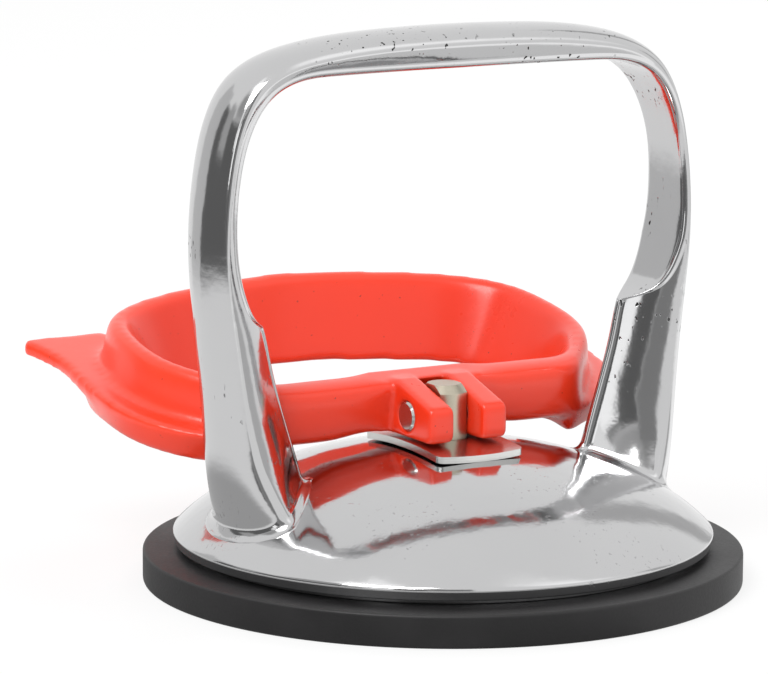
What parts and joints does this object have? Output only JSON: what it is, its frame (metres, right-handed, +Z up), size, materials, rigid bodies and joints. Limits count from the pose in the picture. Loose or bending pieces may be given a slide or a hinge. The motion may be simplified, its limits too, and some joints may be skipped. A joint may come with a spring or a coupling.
{
  "type": "glass suction cup lifter",
  "caption": "Hand-held suction lifter for glass: rubber pad, chromed dome with bow handle, and a cam lever that draws the pad up to make the vacuum.",
  "frame": {"origin": "middle of the suction pad's flat lower face", "axes": "+Z up out of the dome, X along the bow handle and the lever's pivot pin, +Y the way the open lever points"},
  "size_m": [0.118, 0.1342, 0.1092],
  "materials": {
    "chrome_casting": "bright chrome plating over a polished die casting",
    "black_rubber": "matt moulded black rubber",
    "insert_steel": "plain sheet steel",
    "bright_steel": "bright pressed sheet steel",
    "zinc_steel": "zinc-plated steel, slightly yellow",
    "pin_steel": "ground steel pin",
    "red_plastic": "moulded orange-red plastic, satin gloss"
  },
  "bodies": {
    "body": {"cast_body": "chrome_casting", "suction_pad": "black_rubber", "wear_plate": "bright_steel"},
    "stud": {"draw_stud": "zinc_steel", "insert_plate": "insert_steel", "pivot_pin": "pin_steel"},
    "lever": {"lever": "red_plastic"}
  },
  "joints": [
    {"name": "stud_lift", "type": "slide", "parent": "body", "child": "stud", "axis": [0, 0, 1], "range_m": [0, 0.0064], "deforming": ["suction_pad"]},
    {"name": "lever_swing", "type": "hinge", "parent": "stud", "child": "lever", "pos_m": [0, 0, 0.0329], "axis": [1, 0, 0], "range_deg": [0, 57]}
  ],
  "couplings": [
    {"joint": "stud_lift", "follows": "lever_swing", "m_per_rad": 0.00635}
  ]
}
